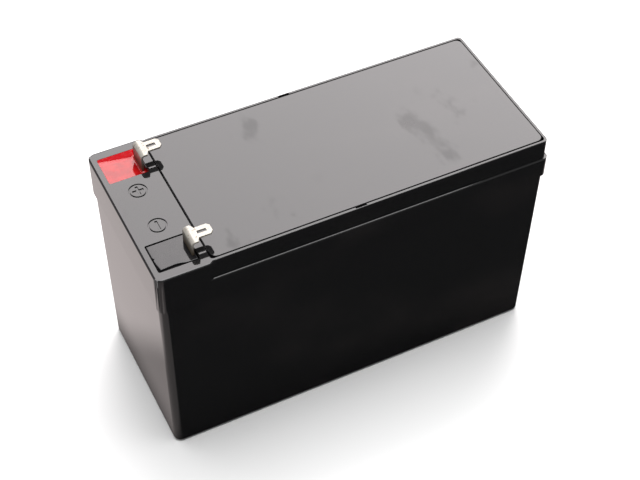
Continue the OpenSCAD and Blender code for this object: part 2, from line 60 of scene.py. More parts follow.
class Graph:
    """A material's node tree, with short calls for the few nodes that the finishes use."""

    def __init__(self, name: str) -> None:
        """Starts an empty material of that name.

        Args:
            name: The material's name.
        """
        self.material = bpy.data.materials.new(name)
        self.material.use_nodes = True
        self.tree = self.material.node_tree
        self.tree.nodes.clear()
        self.output = self.tree.nodes.new("ShaderNodeOutputMaterial")
        self.shader = self.tree.nodes.new("ShaderNodeBsdfPrincipled")
        self.tree.links.new(self.shader.outputs[0], self.output.inputs["Surface"])
        self.where = self.tree.nodes.new("ShaderNodeTexCoord").outputs["Object"]

    def axis(self, name: str) -> Socket:
        """One Object coordinate, X, Y or Z, in metres.

        Args:
            name: X, Y or Z.

        Returns:
            Its socket.
        """
        node = self.tree.nodes.new("ShaderNodeSeparateXYZ")
        self.tree.links.new(self.where, node.inputs[0])
        return node.outputs[name]

    def put(self, target: Socket, value: object) -> None:
        """Feeds a socket from another socket, or sets it to a plain value.

        Args:
            target: The socket to feed.
            value: A socket, or a plain value.
        """
        if isinstance(value, bpy.types.NodeSocket):
            self.tree.links.new(value, target)
        else:
            target.default_value = value

    def place(self, scale: Sequence[float], turn: Sequence[float] = (0, 0, 0)) -> Socket:
        """Object coordinates, stretched and turned.

        Args:
            scale: Factors along X, Y and Z.
            turn: Angles about X, Y and Z in radians.

        Returns:
            The vector socket.
        """
        node = self.tree.nodes.new("ShaderNodeMapping")
        node.inputs["Scale"].default_value = tuple(scale)
        node.inputs["Rotation"].default_value = tuple(turn)
        self.tree.links.new(self.where, node.inputs["Vector"])
        return node.outputs["Vector"]

    def noise(self, size_mm: float, detail: float = 3.0, rough: float = 0.5,
              stretch: Sequence[float] = (1, 1, 1), turn: Sequence[float] = (0, 0, 0)) -> Socket:
        """Soft noise whose blotches are about size_mm wide.

        Args:
            size_mm: Width of one blotch, in millimetres.
            detail: Octaves of finer noise.
            rough: Share of the finer octaves.
            stretch: How much longer the blotches are along X, Y and Z.
            turn: Angles about X, Y and Z in radians.

        Returns:
            The factor socket, near 0 to 1.
        """
        node = self.tree.nodes.new("ShaderNodeTexNoise")
        node.inputs["Scale"].default_value = 1.0
        node.inputs["Detail"].default_value = detail
        node.inputs["Roughness"].default_value = rough
        pitch = 1.0 / (size_mm * MM)
        self.tree.links.new(self.place([pitch / s for s in stretch], turn), node.inputs["Vector"])
        return node.outputs["Fac"]

    def cells(self, size_mm: float, output: str = "Distance") -> Socket:
        """Voronoi cells about size_mm wide.

        Args:
            size_mm: Width of a cell, in millimetres.
            output: Name of the output wanted.

        Returns:
            That output's socket.
        """
        node = self.tree.nodes.new("ShaderNodeTexVoronoi")
        node.inputs["Scale"].default_value = 1.0
        self.tree.links.new(self.place([1.0 / (size_mm * MM)] * 3), node.inputs["Vector"])
        return node.outputs[output]

    def span(self, value: Socket, low: float, high: float, out_low: float, out_high: float) -> Socket:
        """Maps low..high to out_low..out_high with a smooth step, held at both ends.

        Args:
            value: The socket to map.
            low: Value that gives out_low.
            high: Value that gives out_high.
            out_low: Result at and beyond low.
            out_high: Result at and beyond high.

        Returns:
            The mapped socket.
        """
        node = self.tree.nodes.new("ShaderNodeMapRange")
        node.interpolation_type = "SMOOTHSTEP"
        ends = {"From Min": low, "From Max": high, "To Min": out_low, "To Max": out_high}
        for name, number in ends.items():
            node.inputs[name].default_value = number
        self.tree.links.new(value, node.inputs["Value"])
        return node.outputs["Result"]

    def maths(self, kind: str, a: object, b: object) -> Socket:
        """One Math node of that kind on two values.

        Args:
            kind: The node's operation.
            a: First socket or number.
            b: Second socket or number.

        Returns:
            The result's socket.
        """
        node = self.tree.nodes.new("ShaderNodeMath")
        node.operation = kind
        self.put(node.inputs[0], a)
        self.put(node.inputs[1], b)
        return node.outputs[0]

    def blend(self, share: Socket, a: Sequence[float], b: object) -> Socket:
        """Colour that goes from a to b with the share.

        Args:
            share: The share of b, 0 to 1.
            a: First colour.
            b: Second colour, or a colour socket.

        Returns:
            The colour socket.
        """
        node = self.tree.nodes.new("ShaderNodeMix")
        node.data_type = "RGBA"
        self.put(node.inputs["Factor"], share)
        for name, colour in (("A", a), ("B", b)):
            socket = next(s for s in node.inputs if s.name == name and s.type == "RGBA")
            self.put(socket, colour if isinstance(colour, bpy.types.NodeSocket) else (*colour, 1.0))
        return next(s for s in node.outputs if s.type == "RGBA")

    def relief(self, height: Socket, depth_mm: float, after: Socket | None = None) -> Socket:
        """Bump of that depth, laid over an earlier bump if one is given.

        Args:
            height: Height, 0 to 1.
            depth_mm: Height of 1, in millimetres.
            after: Normal socket of an earlier bump.

        Returns:
            The normal socket.
        """
        node = self.tree.nodes.new("ShaderNodeBump")
        node.inputs["Strength"].default_value = 1.0
        node.inputs["Distance"].default_value = depth_mm * MM
        self.tree.links.new(height, node.inputs["Height"])
        if after is not None:
            self.tree.links.new(after, node.inputs["Normal"])
        return node.outputs["Normal"]

    def set(self, **values: object) -> None:
        """Sets the shader's sockets by name, with _ for a space."""
        for name, value in values.items():
            self.put(self.shader.inputs[name.replace("_", " ")], value)


# Finishes ---------------------------------------------------------------------


@dataclass(frozen=True)
class Finish:
    """A named surface finish. Each kind builds its own graph."""

    name: str
    slot: str

    def dress(self, graph: Graph) -> None:
        """Fills the graph."""
        raise NotImplementedError

    def material(self) -> bpy.types.Material:
        """The Blender material, built on first use."""
        title = f"{self.name}_finish"
        made = bpy.data.materials.get(title)
        if made is None:
            graph = Graph(title)
            self.dress(graph)
            made = graph.material
        return made


@dataclass(frozen=True)
class MouldedPlastic(Finish):
    """Black moulded plastic: polished tool marks, handling smears and a faint grain."""

    tone: float = 0.0095
    polish: float = 0.03
    smear: float = 0.08
    grain_um: float = 1.2
    sink_um: float = 5.0
    stain: float = 0.03

    def dress(self, graph: Graph) -> None:
        """Smears change the roughness, stains dull the shine, and sink marks and grain bend the normal."""
        cloud = graph.noise(34, 2, 0.45, (1.6, 1.0, 1.0), (0.2, 0.1, 0.5))
        wipe = graph.noise(9, 4, 0.6, (3.2, 1.0, 1.0), (0, 0, 0.6))
        smears = graph.maths("MULTIPLY", graph.span(cloud, 0.5, 0.72, 0, 1),
                             graph.span(wipe, 0.35, 0.7, 0.3, 1))
        rough = graph.maths("ADD", graph.span(smears, 0, 1, self.polish, self.polish + self.smear),
                            graph.span(graph.noise(0.5, 2), 0.3, 0.7, 0, 0.02))
        dust = graph.maths("MULTIPLY", smears, 0.7)
        t = self.tone
        colour = graph.blend(dust, (t, t, t * 1.04), (t * 2.1, t * 1.9, t * 1.9))
        sink = graph.relief(graph.noise(26, 1, 0.4), self.sink_um * MM)
        grain = graph.relief(graph.noise(0.22, 2, 0.6), self.grain_um * MM, sink)
        film = graph.span(graph.noise(15, 3, 0.6, (1.0, 1.6, 1.0), (0, 0, 0.9)), 0.56, 0.74, 0, 1)
        shine = graph.span(film, 0, 1, 0.5, 0.5 - self.stain)
        graph.set(Base_Color=colour, Roughness=rough, Normal=grain, IOR=1.5, Specular_IOR_Level=shine)


@dataclass(frozen=True)
class PouredResin(Finish):
    """Epoxy poured and cured in a pocket: wet gloss, small ripples and a few sunk bubbles."""

    light: tuple[float, float, float] = (0.38, 0.003, 0.004)
    deep: tuple[float, float, float] = (0.29, 0.002, 0.004)
    # Painted light: the bank colour is lighter than the resin's own colour, to lift the shaded bank by the
    # long wall.
    bank: tuple[float, float, float] = (0.48, 0.002, 0.007)
    painted_light_bank_y: tuple[float, float] = (25.4, 26.6)
    gloss: float = 0.04
    ripple_um: float = 6.0
    ior: float = 1.44

    def dress(self, graph: Graph) -> None:
        """Pigment clouds the colour. On the bank the colour is painted lighter and richer, as painted light
        on a slope that the lamps reach less. Ripples and bubbles bend the normal.
        """
        cloud = graph.span(graph.noise(3.4, 3, 0.55), 0.35, 0.65, 0, 1)
        bubble = graph.span(graph.cells(1.9), 0.0, 0.16, 0, 1)
        ripple = graph.relief(graph.noise(2.6, 2, 0.5), self.ripple_um * MM)
        pits = graph.relief(bubble, 0.012, ripple)
        rough = graph.span(graph.noise(1.1, 3), 0.3, 0.7, self.gloss, self.gloss + 0.05)
        # Painted light: past these Y values the resin takes the lighter bank colour.
        share = graph.span(graph.axis("Y"), self.painted_light_bank_y[0] * MM, self.painted_light_bank_y[1] * MM, 1, 0)
        colour = graph.blend(share, self.bank, graph.blend(cloud, self.light, self.deep))
        graph.set(Base_Color=colour, Roughness=rough, Normal=pits, IOR=self.ior)


@dataclass(frozen=True)
class TinPlate(Finish):
    """Tin plate on pressed brass: rolling lines and patches of tarnish."""

    bright: tuple[float, float, float] = (0.37, 0.35, 0.315)
    tarnish: tuple[float, float, float] = (0.13, 0.095, 0.06)
    metal: float = 0.3
    # Painted shade: the strip darkens to the tarnish colour from the upper height down to the lower one.
    painted_shade_z: tuple[float, float] = (93.5, 99.0)

    def dress(self, graph: Graph) -> None:
        """Long streaks run across the strip. Patches of tarnish lie over them, and the strip is painted
        darker low down near the resin, as painted shade.
        """
        lines = graph.noise(0.16, 3, 0.6, (1, 22, 1))
        # Painted shade low down near the resin, not tarnish.
        low = graph.span(graph.axis("Z"), self.painted_shade_z[0] * MM, self.painted_shade_z[1] * MM, 1, 0)
        # This mask holds both the real tarnish patches and the painted shade low down.
        tarnish_and_painted_shade = graph.maths("MAXIMUM", graph.span(graph.noise(0.8, 4, 0.65), 0.56, 0.7, 0, 1), low)
        rough = graph.maths("ADD", graph.span(lines, 0.3, 0.7, 0.28, 0.40),
                            graph.maths("MULTIPLY", tarnish_and_painted_shade, 0.12))
        relief = graph.relief(lines, 0.004)
        dents = graph.relief(graph.noise(1.6, 2), 0.02, relief)
        graph.set(Base_Color=graph.blend(tarnish_and_painted_shade, self.bright, self.tarnish), Roughness=rough, Normal=dents,
                  Metallic=self.metal, Specular_IOR_Level=0.3)


@dataclass(frozen=True)
class CastLead(Finish):
    """Cast lead: dull grey, pebbled by the mould, with bluish oxide clouds."""

    def dress(self, graph: Graph) -> None:
        """Oxide clouds over a pebbled metal."""
        cloud = graph.span(graph.noise(4.2, 4, 0.6), 0.4, 0.66, 0, 1)
        pebbles = graph.relief(graph.cells(0.8), 0.03)
        fine = graph.relief(graph.noise(0.3, 3), 0.012, pebbles)
        rough = graph.span(cloud, 0, 1, 0.42, 0.66)
        graph.set(Base_Color=graph.blend(cloud, (0.34, 0.35, 0.38), (0.16, 0.17, 0.20)), Roughness=rough,
                  Normal=fine, Metallic=0.85)


@dataclass(frozen=True)
class MouldedRubber(Finish):
    """Black rubber: matt, with talc in its texture."""

    def dress(self, graph: Graph) -> None:
        """Talc lightens the hollows of a fine texture."""
        talc = graph.span(graph.noise(1.7, 4, 0.7), 0.5, 0.75, 0, 1)
        texture = graph.relief(graph.noise(0.18, 3), 0.01)
        graph.set(Base_Color=graph.blend(talc, (0.012, 0.012, 0.012), (0.05, 0.048, 0.045)),
                  Roughness=graph.span(talc, 0, 1, 0.62, 0.85), Normal=texture, Sheen_Weight=0.12)


@dataclass(frozen=True)
class CuredPaste(Finish):
    """Plate paste pressed into a grid: granular, with the grid's wires just showing."""

    wet: tuple[float, float, float] = (0.16, 0.075, 0.045)
    dry: tuple[float, float, float] = (0.26, 0.14, 0.09)

    def dress(self, graph: Graph) -> None:
        """Grains and clouds of drier paste."""
        cloud = graph.span(graph.noise(6, 4, 0.6), 0.38, 0.64, 0, 1)
        grains = graph.relief(graph.cells(0.45), 0.05)
        wires = graph.relief(graph.noise(0.9, 1, 0.3, (1, 1, 9)), 0.08, grains)
        graph.set(Base_Color=graph.blend(cloud, self.wet, self.dry),
                  Roughness=graph.span(cloud, 0, 1, 0.74, 0.92), Normal=wires)


@dataclass(frozen=True)
class GlassMat(Finish):
    """Absorbent glass mat: white felted fibres."""

    def dress(self, graph: Graph) -> None:
        """Fibres at two slants give the felt its nap."""
        one = graph.noise(0.12, 2, 0.6, (14, 1, 1), (0.3, 0.5, 0.7))
        two = graph.noise(0.12, 2, 0.6, (1, 1, 14), (0.2, 0.8, 0.1))
        felt = graph.maths("MAXIMUM", one, two)
        nap = graph.span(felt, 0.45, 0.75, 0, 1)
        graph.set(Base_Color=graph.blend(nap, (0.62, 0.62, 0.59), (0.86, 0.86, 0.83)),
                  Roughness=graph.span(felt, 0.4, 0.8, 0.82, 0.95), Normal=graph.relief(felt, 0.05),
                  Sheen_Weight=0.3)


@dataclass(frozen=True)
class JointEpoxy(Finish):
    """Grey epoxy that bonds the lid, with filler specks."""

    def dress(self, graph: Graph) -> None:
        """Specks of filler in a satin resin."""
        specks = graph.span(graph.cells(0.7), 0.05, 0.3, 0, 1)
        graph.set(Base_Color=graph.blend(specks, (0.05, 0.05, 0.055), (0.1, 0.1, 0.105)),
                  Roughness=graph.span(specks, 0, 1, 0.5, 0.36),
                  Normal=graph.relief(graph.noise(1.5, 2), 0.02))


CASE = MouldedPlastic("case_plastic", "case_plastic")
COVER = MouldedPlastic("cover_plastic", "cover_plastic", smear=0.10, stain=0.12)
RED = PouredResin("red_resin", "red_resin")
BLACK = PouredResin("black_resin", "black_resin", light=(0.009, 0.009, 0.010), deep=(0.014, 0.013, 0.014),
                    gloss=0.05, ripple_um=5.0, ior=1.42)
TIN = TinPlate("tinned_terminal", "tinned_terminal")
LEAD = CastLead("cast_lead", "lead")
RUBBER = MouldedRubber("moulded_rubber", "rubber")
POSITIVE_PASTE = CuredPaste("positive_paste", "positive_paste")
NEGATIVE_PASTE = CuredPaste("negative_paste", "negative_paste", (0.22, 0.23, 0.25), (0.34, 0.35, 0.36))
MAT = GlassMat("glass_mat", "glass_mat")
EPOXY = JointEpoxy("joint_epoxy", "joint_resin")


# Mesh tools --------------------------------------------------------------------


class Body(Enum):
    """The CAD bodies that pieces ride on."""

    CASE = "case"
    COVER = "cover"


def piece(name: str, points: Points, faces: Iterable[Sequence[int]], finish: Finish, body: Body,
          replaces: Sequence[str]) -> bpy.types.Object:
    """Makes a shown piece from points in millimetres and its faces.

    Args:
        name: The piece's name.
        points: N x 3 array of points, in millimetres, in the CAD frame.
        faces: Vertex numbers of each face, outward by the right-hand rule.
        finish: Its finish.
        body: The CAD body that it rides on.
        replaces: CAD nodes that it stands for.

    Returns:
        The Blender object.
    """
    mesh = bpy.data.meshes.new(name)
    mesh.from_pydata((points * MM).tolist(), [], [tuple(f) for f in faces])
    mesh.validate()
    return settle(name, mesh, finish, body, replaces)


def settle(name: str, mesh: bpy.types.Mesh, finish: Finish, body: Body,
           replaces: Sequence[str]) -> bpy.types.Object:
    """Shows a mesh as a smooth piece in its finish, and lets it ride on its body.

    Args:
        name: The piece's name.
        mesh: Its mesh, in metres.
        finish: Its finish.
        body: The CAD body that it rides on.
        replaces: CAD nodes that it stands for.

    Returns:
        The Blender object.
    """
    mesh.polygons.foreach_set("use_smooth", np.ones(len(mesh.polygons), bool))
    mesh.materials.append(finish.material())
    shown = bpy.data.objects.new(name, mesh)
    bpy.context.scene.collection.objects.link(shown)
    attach(shown, body.value)
    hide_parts(*replaces)
    LOG.info("%s: %d faces on %s", name, len(mesh.polygons), body.value)
    return shown


def grid_faces(rings: int, around: int, closed: bool) -> NDArray[np.int64]:
    """Faces of a grid whose rings are closed loops.

    Face (i, j) joins points j and j + 1 of ring i to the same points of ring i + 1.

    Args:
        rings: Number of rings.
        around: Points in each ring.
        closed: True if the last ring joins the first.

    Returns:
        An M x 4 array of vertex numbers.
    """
    i, j = np.meshgrid(np.arange(rings if closed else rings - 1), np.arange(around), indexing="ij")
    i2, j2 = (i + 1) % rings, (j + 1) % around
    return np.stack([i * around + j, i * around + j2, i2 * around + j2, i2 * around + j], -1).reshape(-1, 4)


@dataclass(frozen=True)
class RoundedBox:
    """An upright outline: a rectangle with round corners, in millimetres."""

    x: tuple[float, float]
    y: tuple[float, float]
    r: float

    def gap(self, points: Points, inset: float | Points = 0.0) -> Points:
        """Signed distance outside the outline, which is negative inside.

        The distance to a rounded rectangle is the distance to the rectangle shrunk by its corner radius,
        less that radius.

        Args:
            points: Points whose X and Y are used.
            inset: How far inside the outline the distance is 0.

        Returns:
            The distance of each point.
        """
        centre = np.array([sum(self.x) / 2, sum(self.y) / 2])
        half = np.array([self.x[1] - self.x[0], self.y[1] - self.y[0]]) / 2
        q = np.abs(points[..., :2] - centre) - (half - self.r)
        away = np.linalg.norm(np.maximum(q, 0), axis=-1) + np.minimum(q.max(-1), 0)
        return away - self.r + inset

    def cast(self, centre: Points, angles: Points, inset: float | Points = 0.0) -> Points:
        """Where rays from a centre meet the outline, found by halving the interval forty times.

        Args:
            centre: The rays' start, inside the outline.
            angles: The rays' directions, in radians.
            inset: How far inside the outline to stop.

        Returns:
            An N x 2 array of points.
        """
        way = np.stack([np.cos(angles), np.sin(angles)], -1)
        low, high = np.zeros(len(angles)), np.full(len(angles), 60.0)
        for _ in range(40):
            middle = (low + high) / 2
            inside = self.gap(centre + way * middle[:, None], inset) < 0
            low, high = np.where(inside, middle, low), np.where(inside, high, middle)
        return centre + way * low[:, None]


@dataclass(frozen=True)
class Rim:
    """A level edge of a moulding at height z, where the test holds, and its radius at x and y.

    Its flat face looks up if up is 1, or down if up is -1.
    """

    z: float
    holds: Callable[[float, float], bool]
    radius: Callable[[float, float], float]
    up: int = 1
    steps: int = 5

    def chain(self, mesh: bmesh.types.BMesh) -> list[tuple[int, int, Points]]:
        """The rim's edges.

        Args:
            mesh: The merged mesh.

        Returns:
            For each edge its two vertex numbers, in the order of its wall's face, and that wall's normal.
        """
        found = []
        for edge in mesh.edges:
            ends = np.array([v.co for v in edge.verts]) / MM
            middle = ends.mean(0)
            if len(edge.link_faces) != 2 or not edge.is_convex or np.abs(ends[:, 2] - self.z).max() > 0.01:
                continue
            wall, cap = sorted(edge.link_faces, key=lambda f: abs(f.normal.z))
            if abs(wall.normal.z) > 0.5 or cap.normal.z * self.up < 0.9:
                continue
            if not self.holds(middle[0], middle[1]):
                continue
            loop = next(c for c in edge.link_loops if c.face == wall)
            found.append((loop.vert.index, loop.link_loop_next.vert.index, np.array(wall.normal)[:2]))
        return found

    def roll(self, points: list[Points], faces: list[list[int]], caps: list[bool],
             chain: list[tuple[int, int, Points]]) -> None:
        """Replaces the rim's sharp edge by a strip whose cross-section is a quarter circle.

        At a vertex with wall normals n and m, the inward miter is minus (n + m) over (1 + n.m). Point k of
        the strip lies radius times (1 - sin t) along the miter and radius times (1 - cos t) along the wall,
        with t going from 0 on the flat face to a right angle on the wall.

        Args:
            points: The moulding's points, which grow.
            faces: Its faces, which grow and whose rim points are moved.
            caps: For each face, whether it is a flat face that ends at this rim.
            chain: The rim's edges.
        """
        walls: dict[int, list[Points]] = {}
        for one, two, normal in chain:
            walls.setdefault(one, []).append(normal)
            walls.setdefault(two, []).append(normal)
        rings: dict[int, list[int]] = {}
        for vertex, normals in walls.items():
            if len(normals) != 2:
                continue
            miter = (normals[0] + normals[1]) / (1 + float(normals[0] @ normals[1]))
            r = self.radius(points[vertex][0], points[vertex][1])
            rings[vertex] = []
            for t in np.linspace(0, math.pi / 2, self.steps + 1):
                inset = miter * r * (1 - math.sin(t))
                rings[vertex].append(len(points))
                points.append(points[vertex] - np.array([*inset, self.up * r * (1 - math.cos(t))]))
        for face, cap in zip(faces, caps):
            face[:] = [rings[v][0 if cap else -1] if v in rings else v for v in face]
        for one, two, _ in chain:
            a, b = (rings.get(v, [v] * (self.steps + 1)) for v in (one, two))
            for k in range(self.steps, 0, -1):
                ring = [b[k], a[k], a[k - 1], b[k - 1]]
                faces.append([v for i, v in enumerate(ring) if v != ring[i - 1]])
                caps.append(False)


@dataclass
class RoundedCopy:
    """A CAD node's moulding with its level rims rounded, as a moulding's are.

    A copy of the node's mesh is merged and its flat faces are joined. Each rim is then rolled. Other edges
    that turn by more than turn_deg stay sharp.
    """

    node: str
    finish: Finish
    body: Body
    rims: tuple[Rim, ...] = ()
    turn_deg: float = 28.0
    merge_mm: float = 0.002
    flat_deg: float = 0.6
    cuts: tuple[float, float, float] = (-72.5, 76.0, 4.0)

    def merged(self) -> bmesh.types.BMesh:
        """The node's mesh with doubled points merged and flat faces joined, between cuts across X.

        The cuts run through every hole, so that each flat face is a plain outline without a hole.

        Returns:
            The working mesh.
        """
        work = bmesh.new()
        work.from_mesh(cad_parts[self.node].data)
        bmesh.ops.remove_doubles(work, verts=work.verts, dist=self.merge_mm * MM)
        for x in np.arange(*self.cuts) if self.rims else ():
            cut = bmesh.ops.bisect_plane(work, geom=[*work.verts, *work.edges, *work.faces], dist=1e-7,
                                         plane_co=(x * MM, 0, 0), plane_no=(1, 0, 0))
            for made in cut["geom_cut"]:
                if isinstance(made, bmesh.types.BMEdge):
                    made.seam = True
        bmesh.ops.dissolve_limit(work, angle_limit=math.radians(self.flat_deg), verts=work.verts,
                                 edges=work.edges, delimit={"SEAM"})
        work.verts.index_update()
        return work

    def build(self) -> bpy.types.Object:
        """Merges the copy and rolls its rims.

        Returns:
            The piece.
        """
        work = self.merged()
        points = [np.array(v.co) / MM for v in work.verts]
        faces = [[v.index for v in f.verts] for f in work.faces]
        level = [(f.calc_center_median().z / MM, f.normal.z) for f in work.faces]
        for rim in self.rims:
            chain = rim.chain(work)
            caps = [n * rim.up > 0.9 and abs(z - rim.z) < 0.01 for z, n in level]
            caps += [False] * (len(faces) - len(caps))
            rim.roll(points, faces, caps, chain)
            LOG.info("%s: rim at z %.2f has %d edges", self.node, rim.z, len(chain))
        work.free()
        name = f"{self.node}_moulding"
        mesh = bpy.data.meshes.new(name)
        mesh.from_pydata((np.array(points) * MM).tolist(), [], faces)
        self.sharpen(mesh)
        shown = settle(name, mesh, self.finish, self.body, [self.node])
        normals = shown.modifiers.new("normals", "WEIGHTED_NORMAL")
        normals.mode = "FACE_AREA"
        normals.weight = 70
        normals.keep_sharp = True
        return shown

    def sharpen(self, mesh: bpy.types.Mesh) -> None:
        """Drops loose points, and marks the edges that stay sharp.

        Args:
            mesh: The mesh to change.
        """
        work = bmesh.new()
        work.from_mesh(mesh)
        bmesh.ops.delete(work, geom=[v for v in work.verts if not v.link_faces], context="VERTS")
        for edge in work.edges:
            edge.smooth = edge.calc_face_angle(0) < math.radians(self.turn_deg)
        work.to_mesh(mesh)
        work.free()


@dataclass
class BevelledCopy:
    """A CAD node with every outer edge rounded by one small radius."""

    node: str
    finish: Finish
    body: Body
    width: float

    def build(self) -> bpy.types.Object:
        """Merges the copy and adds the modifiers.

        Returns:
            The piece.
        """
        work = RoundedCopy(self.node, self.finish, self.body).merged()
        name = f"{self.node}_rounded"
        mesh = bpy.data.meshes.new(name)
        work.to_mesh(mesh)
        work.free()
        shown = settle(name, mesh, self.finish, self.body, [self.node])
        bevel = shown.modifiers.new("rounding", "BEVEL")
        bevel.width = self.width * MM
        bevel.segments = 3
        bevel.angle_limit = math.radians(28)
        normals = shown.modifiers.new("normals", "WEIGHTED_NORMAL")
        normals.mode = "FACE_AREA"
        normals.weight = 60
        return shown


# Sub-assemblies ------------------------------------------------------------------


@dataclass
class Case:
    """The container, the bonded lid, the resin in their joint and the vent cover, in millimetres."""

    half: tuple[float, float] = (75.5, 32.5)
    slack: float = 0.2
    height: float = 94.0
    ledge_z: float = 86.0
    seam_z: float = 77.5
    ledge: float = 1.0
    deck_end: float = -54.0
    mark_start: float = -72.0
    pocket_end: float = -58.0
    mark_y: float = 15.0
    deck_r: float = 0.7
    rim_r: float = 0.34
    ledge_r: float = 0.7
    skirt_r: float = 0.3
    hole_r: float = 0.1
    recess_r: float = 0.05
    mark_r: float = 0.06
    cover_r: float = 0.22

    def outside(self, x: float, y: float, inset: float) -> bool:
        """True within the slack of the lid's outline or beyond it, or of that outline shrunk by an inset."""
        return abs(x) > self.half[0] - inset - self.slack or abs(y) > self.half[1] - inset - self.slack

    def top_outline(self, x: float, y: float) -> bool:
        """Edges of the lid's top round its outside."""
        end = x < self.slack - self.half[0] or x > self.half[0] - self.ledge - self.slack
        return end or self.outside(0, y, self.ledge)

    def top_hole(self, x: float, y: float) -> bool:
        """Edges of the lid's top round the pockets and the cover's recess."""
        mark = x < self.pocket_end and abs(y) < self.mark_y
        return not self.top_outline(x, y) and not mark

    def lid_rims(self) -> tuple[Rim, ...]:
        """The lid's rims."""
        return (
            Rim(self.height, self.top_outline, lambda x, y: self.deck_r if x < self.deck_end else self.rim_r),
            Rim(self.height, self.top_hole,
                lambda x, y: self.hole_r if x < self.pocket_end + 2 else self.recess_r),
            Rim(self.height, lambda x, y: self.mark_start < x < self.pocket_end and abs(y) < self.mark_y,
                lambda x, y: self.mark_r),
            Rim(self.ledge_z, lambda x, y: self.outside(x, y, 0), lambda x, y: self.ledge_r),
            Rim(self.seam_z, lambda x, y: self.outside(x, y, 0), lambda x, y: self.skirt_r, up=-1),
        )

    def build(self) -> None:
        """Makes the three mouldings and dresses the joint resin."""
        RoundedCopy("container", CASE, Body.CASE).build()
        RoundedCopy("lid", CASE, Body.CASE, self.lid_rims()).build()
        BevelledCopy("vent_cover", COVER, Body.COVER, self.cover_r).build()
        dress_nodes(["lid_joint_resin"], EPOXY)


@dataclass
class Pocket:
    """A terminal pocket in the lid, the resin poured in it and the tab that stands in it, in millimetres."""

    side: int
    terminal_y: float = 22.3
    x: tuple[float, float] = (-73.0, -58.4)
    width: float = 12.8
    corner: float = 0.6
    floor_z: float = 91.5
    well_x: tuple[float, float] = (-70.2, -58.9)
    well_width: float = 10.0
    well_corner: float = 1.0
    well_z: float = 86.6
    leg_x: tuple[float, float] = (-60.2, -59.4)
    leg_width: float = 8.0
    leg_corner: float = 0.02
    foot_reach: float = 4.6
    post_x: float = -64.4
    post_d: float = 8.0
    foot_z: tuple[float, float] = (88.0, 88.8)
    around: int = 512

    @property
    def outline(self) -> RoundedBox:
        """The pocket's outline."""
        y = self.side * self.terminal_y
        return RoundedBox(self.x, (y - self.width / 2, y + self.width / 2), self.corner)

    @property
    def well(self) -> RoundedBox:
        """The deeper well's outline."""
        y = self.side * self.terminal_y
        return RoundedBox(self.well_x, (y - self.well_width / 2, y + self.well_width / 2), self.well_corner)

    @property
    def leg(self) -> RoundedBox:
        """The tab's leg where it leaves the resin."""
        y = self.side * self.terminal_y
        return RoundedBox(self.leg_x, (y - self.leg_width / 2, y + self.leg_width / 2), self.leg_corner)

    @property
    def foot(self) -> RoundedBox:
        """The tab's foot, under the resin."""
        y = self.side * self.terminal_y
        return RoundedBox((self.post_x - self.foot_reach, self.leg_x[1]),
                          (y - self.leg_width / 2, y + self.leg_width / 2), self.leg_corner)

    @property
    def centre(self) -> Points:
        """Middle of the leg, from which every ring's rays start."""
        return np.array([sum(self.leg_x) / 2, self.side * self.terminal_y])

    def angles(self) -> Points:
        """Directions of the rays."""
        return np.linspace(0, 2 * math.pi, self.around, endpoint=False)

    def ring(self, outline: RoundedBox, z: float | Points, inset: float | Points = 0.0) -> Points:
        """A ring of points on an outline at a height."""
        flat = outline.cast(self.centre, self.angles(), inset)
        return np.column_stack([flat, np.broadcast_to(z, len(flat))])

    def underside(self) -> list[Points]:
        """Rings from the leg down round the foot and the post, out to the well and up to the pocket's floor.

        Each is the outline of what the resin touches there, so the resin is a closed sleeve.

        Returns:
            The rings, in order.
        """
        y = self.side * self.terminal_y
        radius = self.post_d / 2
        inner = self.foot.cast(self.centre, self.angles())
        turned = np.arctan2(inner[:, 1] - y, inner[:, 0] - self.post_x)
        round_post = np.column_stack([self.post_x + radius * np.cos(turned), y + radius * np.sin(turned)])
        flat = [(inner, self.foot_z[1]), (inner, self.foot_z[0]), (round_post, self.foot_z[0]),
                (round_post, self.well_z)]
        rings = [self.ring(self.leg, self.foot_z[1])]
        rings += [np.column_stack([p, np.full(len(p), z)]) for p, z in flat]
        rings += [self.ring(self.well, self.well_z), self.ring(self.well, self.floor_z),
                  self.ring(self.outline, self.floor_z)]
        return rings


@dataclass
class RedPool(Pocket):
    """The red resin round the positive tab, in millimetres. It banks up the outer long wall."""

    side: int = 1
    level: float = 93.2
    fall: float = 1.2
    bank: float = 0.65
    top: float = 93.93
    blend: float = 0.05
    climb: float = 0.3
    reach: float = 0.3
    steps: int = 46

    def surface(self) -> list[Points]:
        """Rings from the wall in to the leg.

        The height is the fill level, which falls evenly towards the tab, or the bank by the long side of
        the case if that is higher. The bank falls evenly from the pocket's top, and the two join as blend
        times the logarithm of the sum of e to each height over blend. The resin climbs the leg by climb
        times e to the minus distance over reach.

        Returns:
            The rings, in order.
        """
        wall = self.outline.cast(self.centre, self.angles())
        leg = self.leg.cast(self.centre, self.angles())
        share = np.linspace(0, 1, self.steps)
        share = share**2 / (share**2 + (1 - share) ** 2)
        rings = []
        for s in share:
            flat = wall * (1 - s) + leg * s
            from_leg = self.leg.gap(flat)
            z = self.level - self.fall * (flat[:, 0] - self.x[0]) / (self.x[1] - self.x[0])
            from_side = self.terminal_y + self.width / 2 - flat[:, 1]
            bank = self.top - self.bank * from_side
            z = np.logaddexp(z / self.blend, bank / self.blend) * self.blend
            z = np.minimum(z, self.top)
            z += self.climb * np.exp(-from_leg / self.reach)
            rings.append(np.column_stack([flat, z]))
        return rings

    def build(self) -> None:
        """Makes the pool as one closed grid."""
        rings = self.surface() + self.underside()
        faces = grid_faces(len(rings), self.around, True)
        piece("positive_resin", np.concatenate(rings), faces, RED, Body.CASE, ["positive_seal"])


